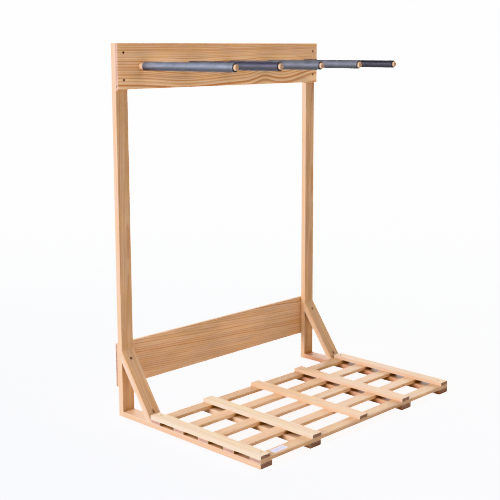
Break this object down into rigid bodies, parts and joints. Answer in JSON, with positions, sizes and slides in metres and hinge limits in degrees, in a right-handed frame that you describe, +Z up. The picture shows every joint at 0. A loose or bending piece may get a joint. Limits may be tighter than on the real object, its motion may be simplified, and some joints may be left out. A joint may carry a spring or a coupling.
{
  "type": "freestanding board rack",
  "caption": "Freestanding timber rack with a slatted floor platform, two braced posts and a headboard with foam-sleeved pegs that hold boards stood on end.",
  "frame": {"origin": "on the floor, under the middle of the rack's bounding box", "axes": "+Z up along the posts, the longest extent; +X across the rack from the left post to the right post; -Y towards the front, where the pegs and the platform point"},
  "size_m": [0.94, 0.65, 1.2],
  "materials": {
    "post": "planed pine, clear, low sheen",
    "wide_board": "planed pine with bold grain, low sheen",
    "brace": "planed pine, low sheen",
    "runner": "planed pine with dark end grain, low sheen",
    "slat": "planed pine, low sheen",
    "deck_board": "pale planed pine, low sheen",
    "dowel": "turned pale dowel, bare",
    "foam": "slate blue-grey closed cell foam, matt",
    "screw": "black phosphate, satin",
    "label": "blank white label, matt"
  },
  "bodies": {
    "root": {"post_left": "post", "post_right": "post", "headboard": "wide_board", "backboard": "wide_board", "peg_dowel_1": "dowel", "peg_dowel_2": "dowel", "peg_dowel_3": "dowel", "peg_dowel_4": "dowel", "peg_dowel_5": "dowel", "foam_sleeve_1": "foam", "foam_sleeve_2": "foam", "foam_sleeve_3": "foam", "foam_sleeve_4": "foam", "foam_sleeve_5": "foam", "brace_left": "brace", "brace_right": "brace", "runner_1": "runner", "runner_2": "runner", "runner_3": "runner", "runner_4": "runner", "slat_1": "slat", "slat_2": "slat", "slat_3": "slat", "slat_4": "slat", "slat_5": "slat", "deck_board_1": "deck_board", "deck_board_2": "deck_board", "deck_board_3": "deck_board", "deck_board_4": "deck_board", "deck_board_5": "deck_board", "headboard_screws": "screw", "backboard_screws": "screw", "brace_top_screws": "screw", "brace_foot_screws": "screw", "runner_end_screws": "screw", "deck_corner_screws": "screw", "runner_underside_screws": "screw", "centre_board_screws": "screw", "blank_label": "label"}
  },
  "joints": []
}
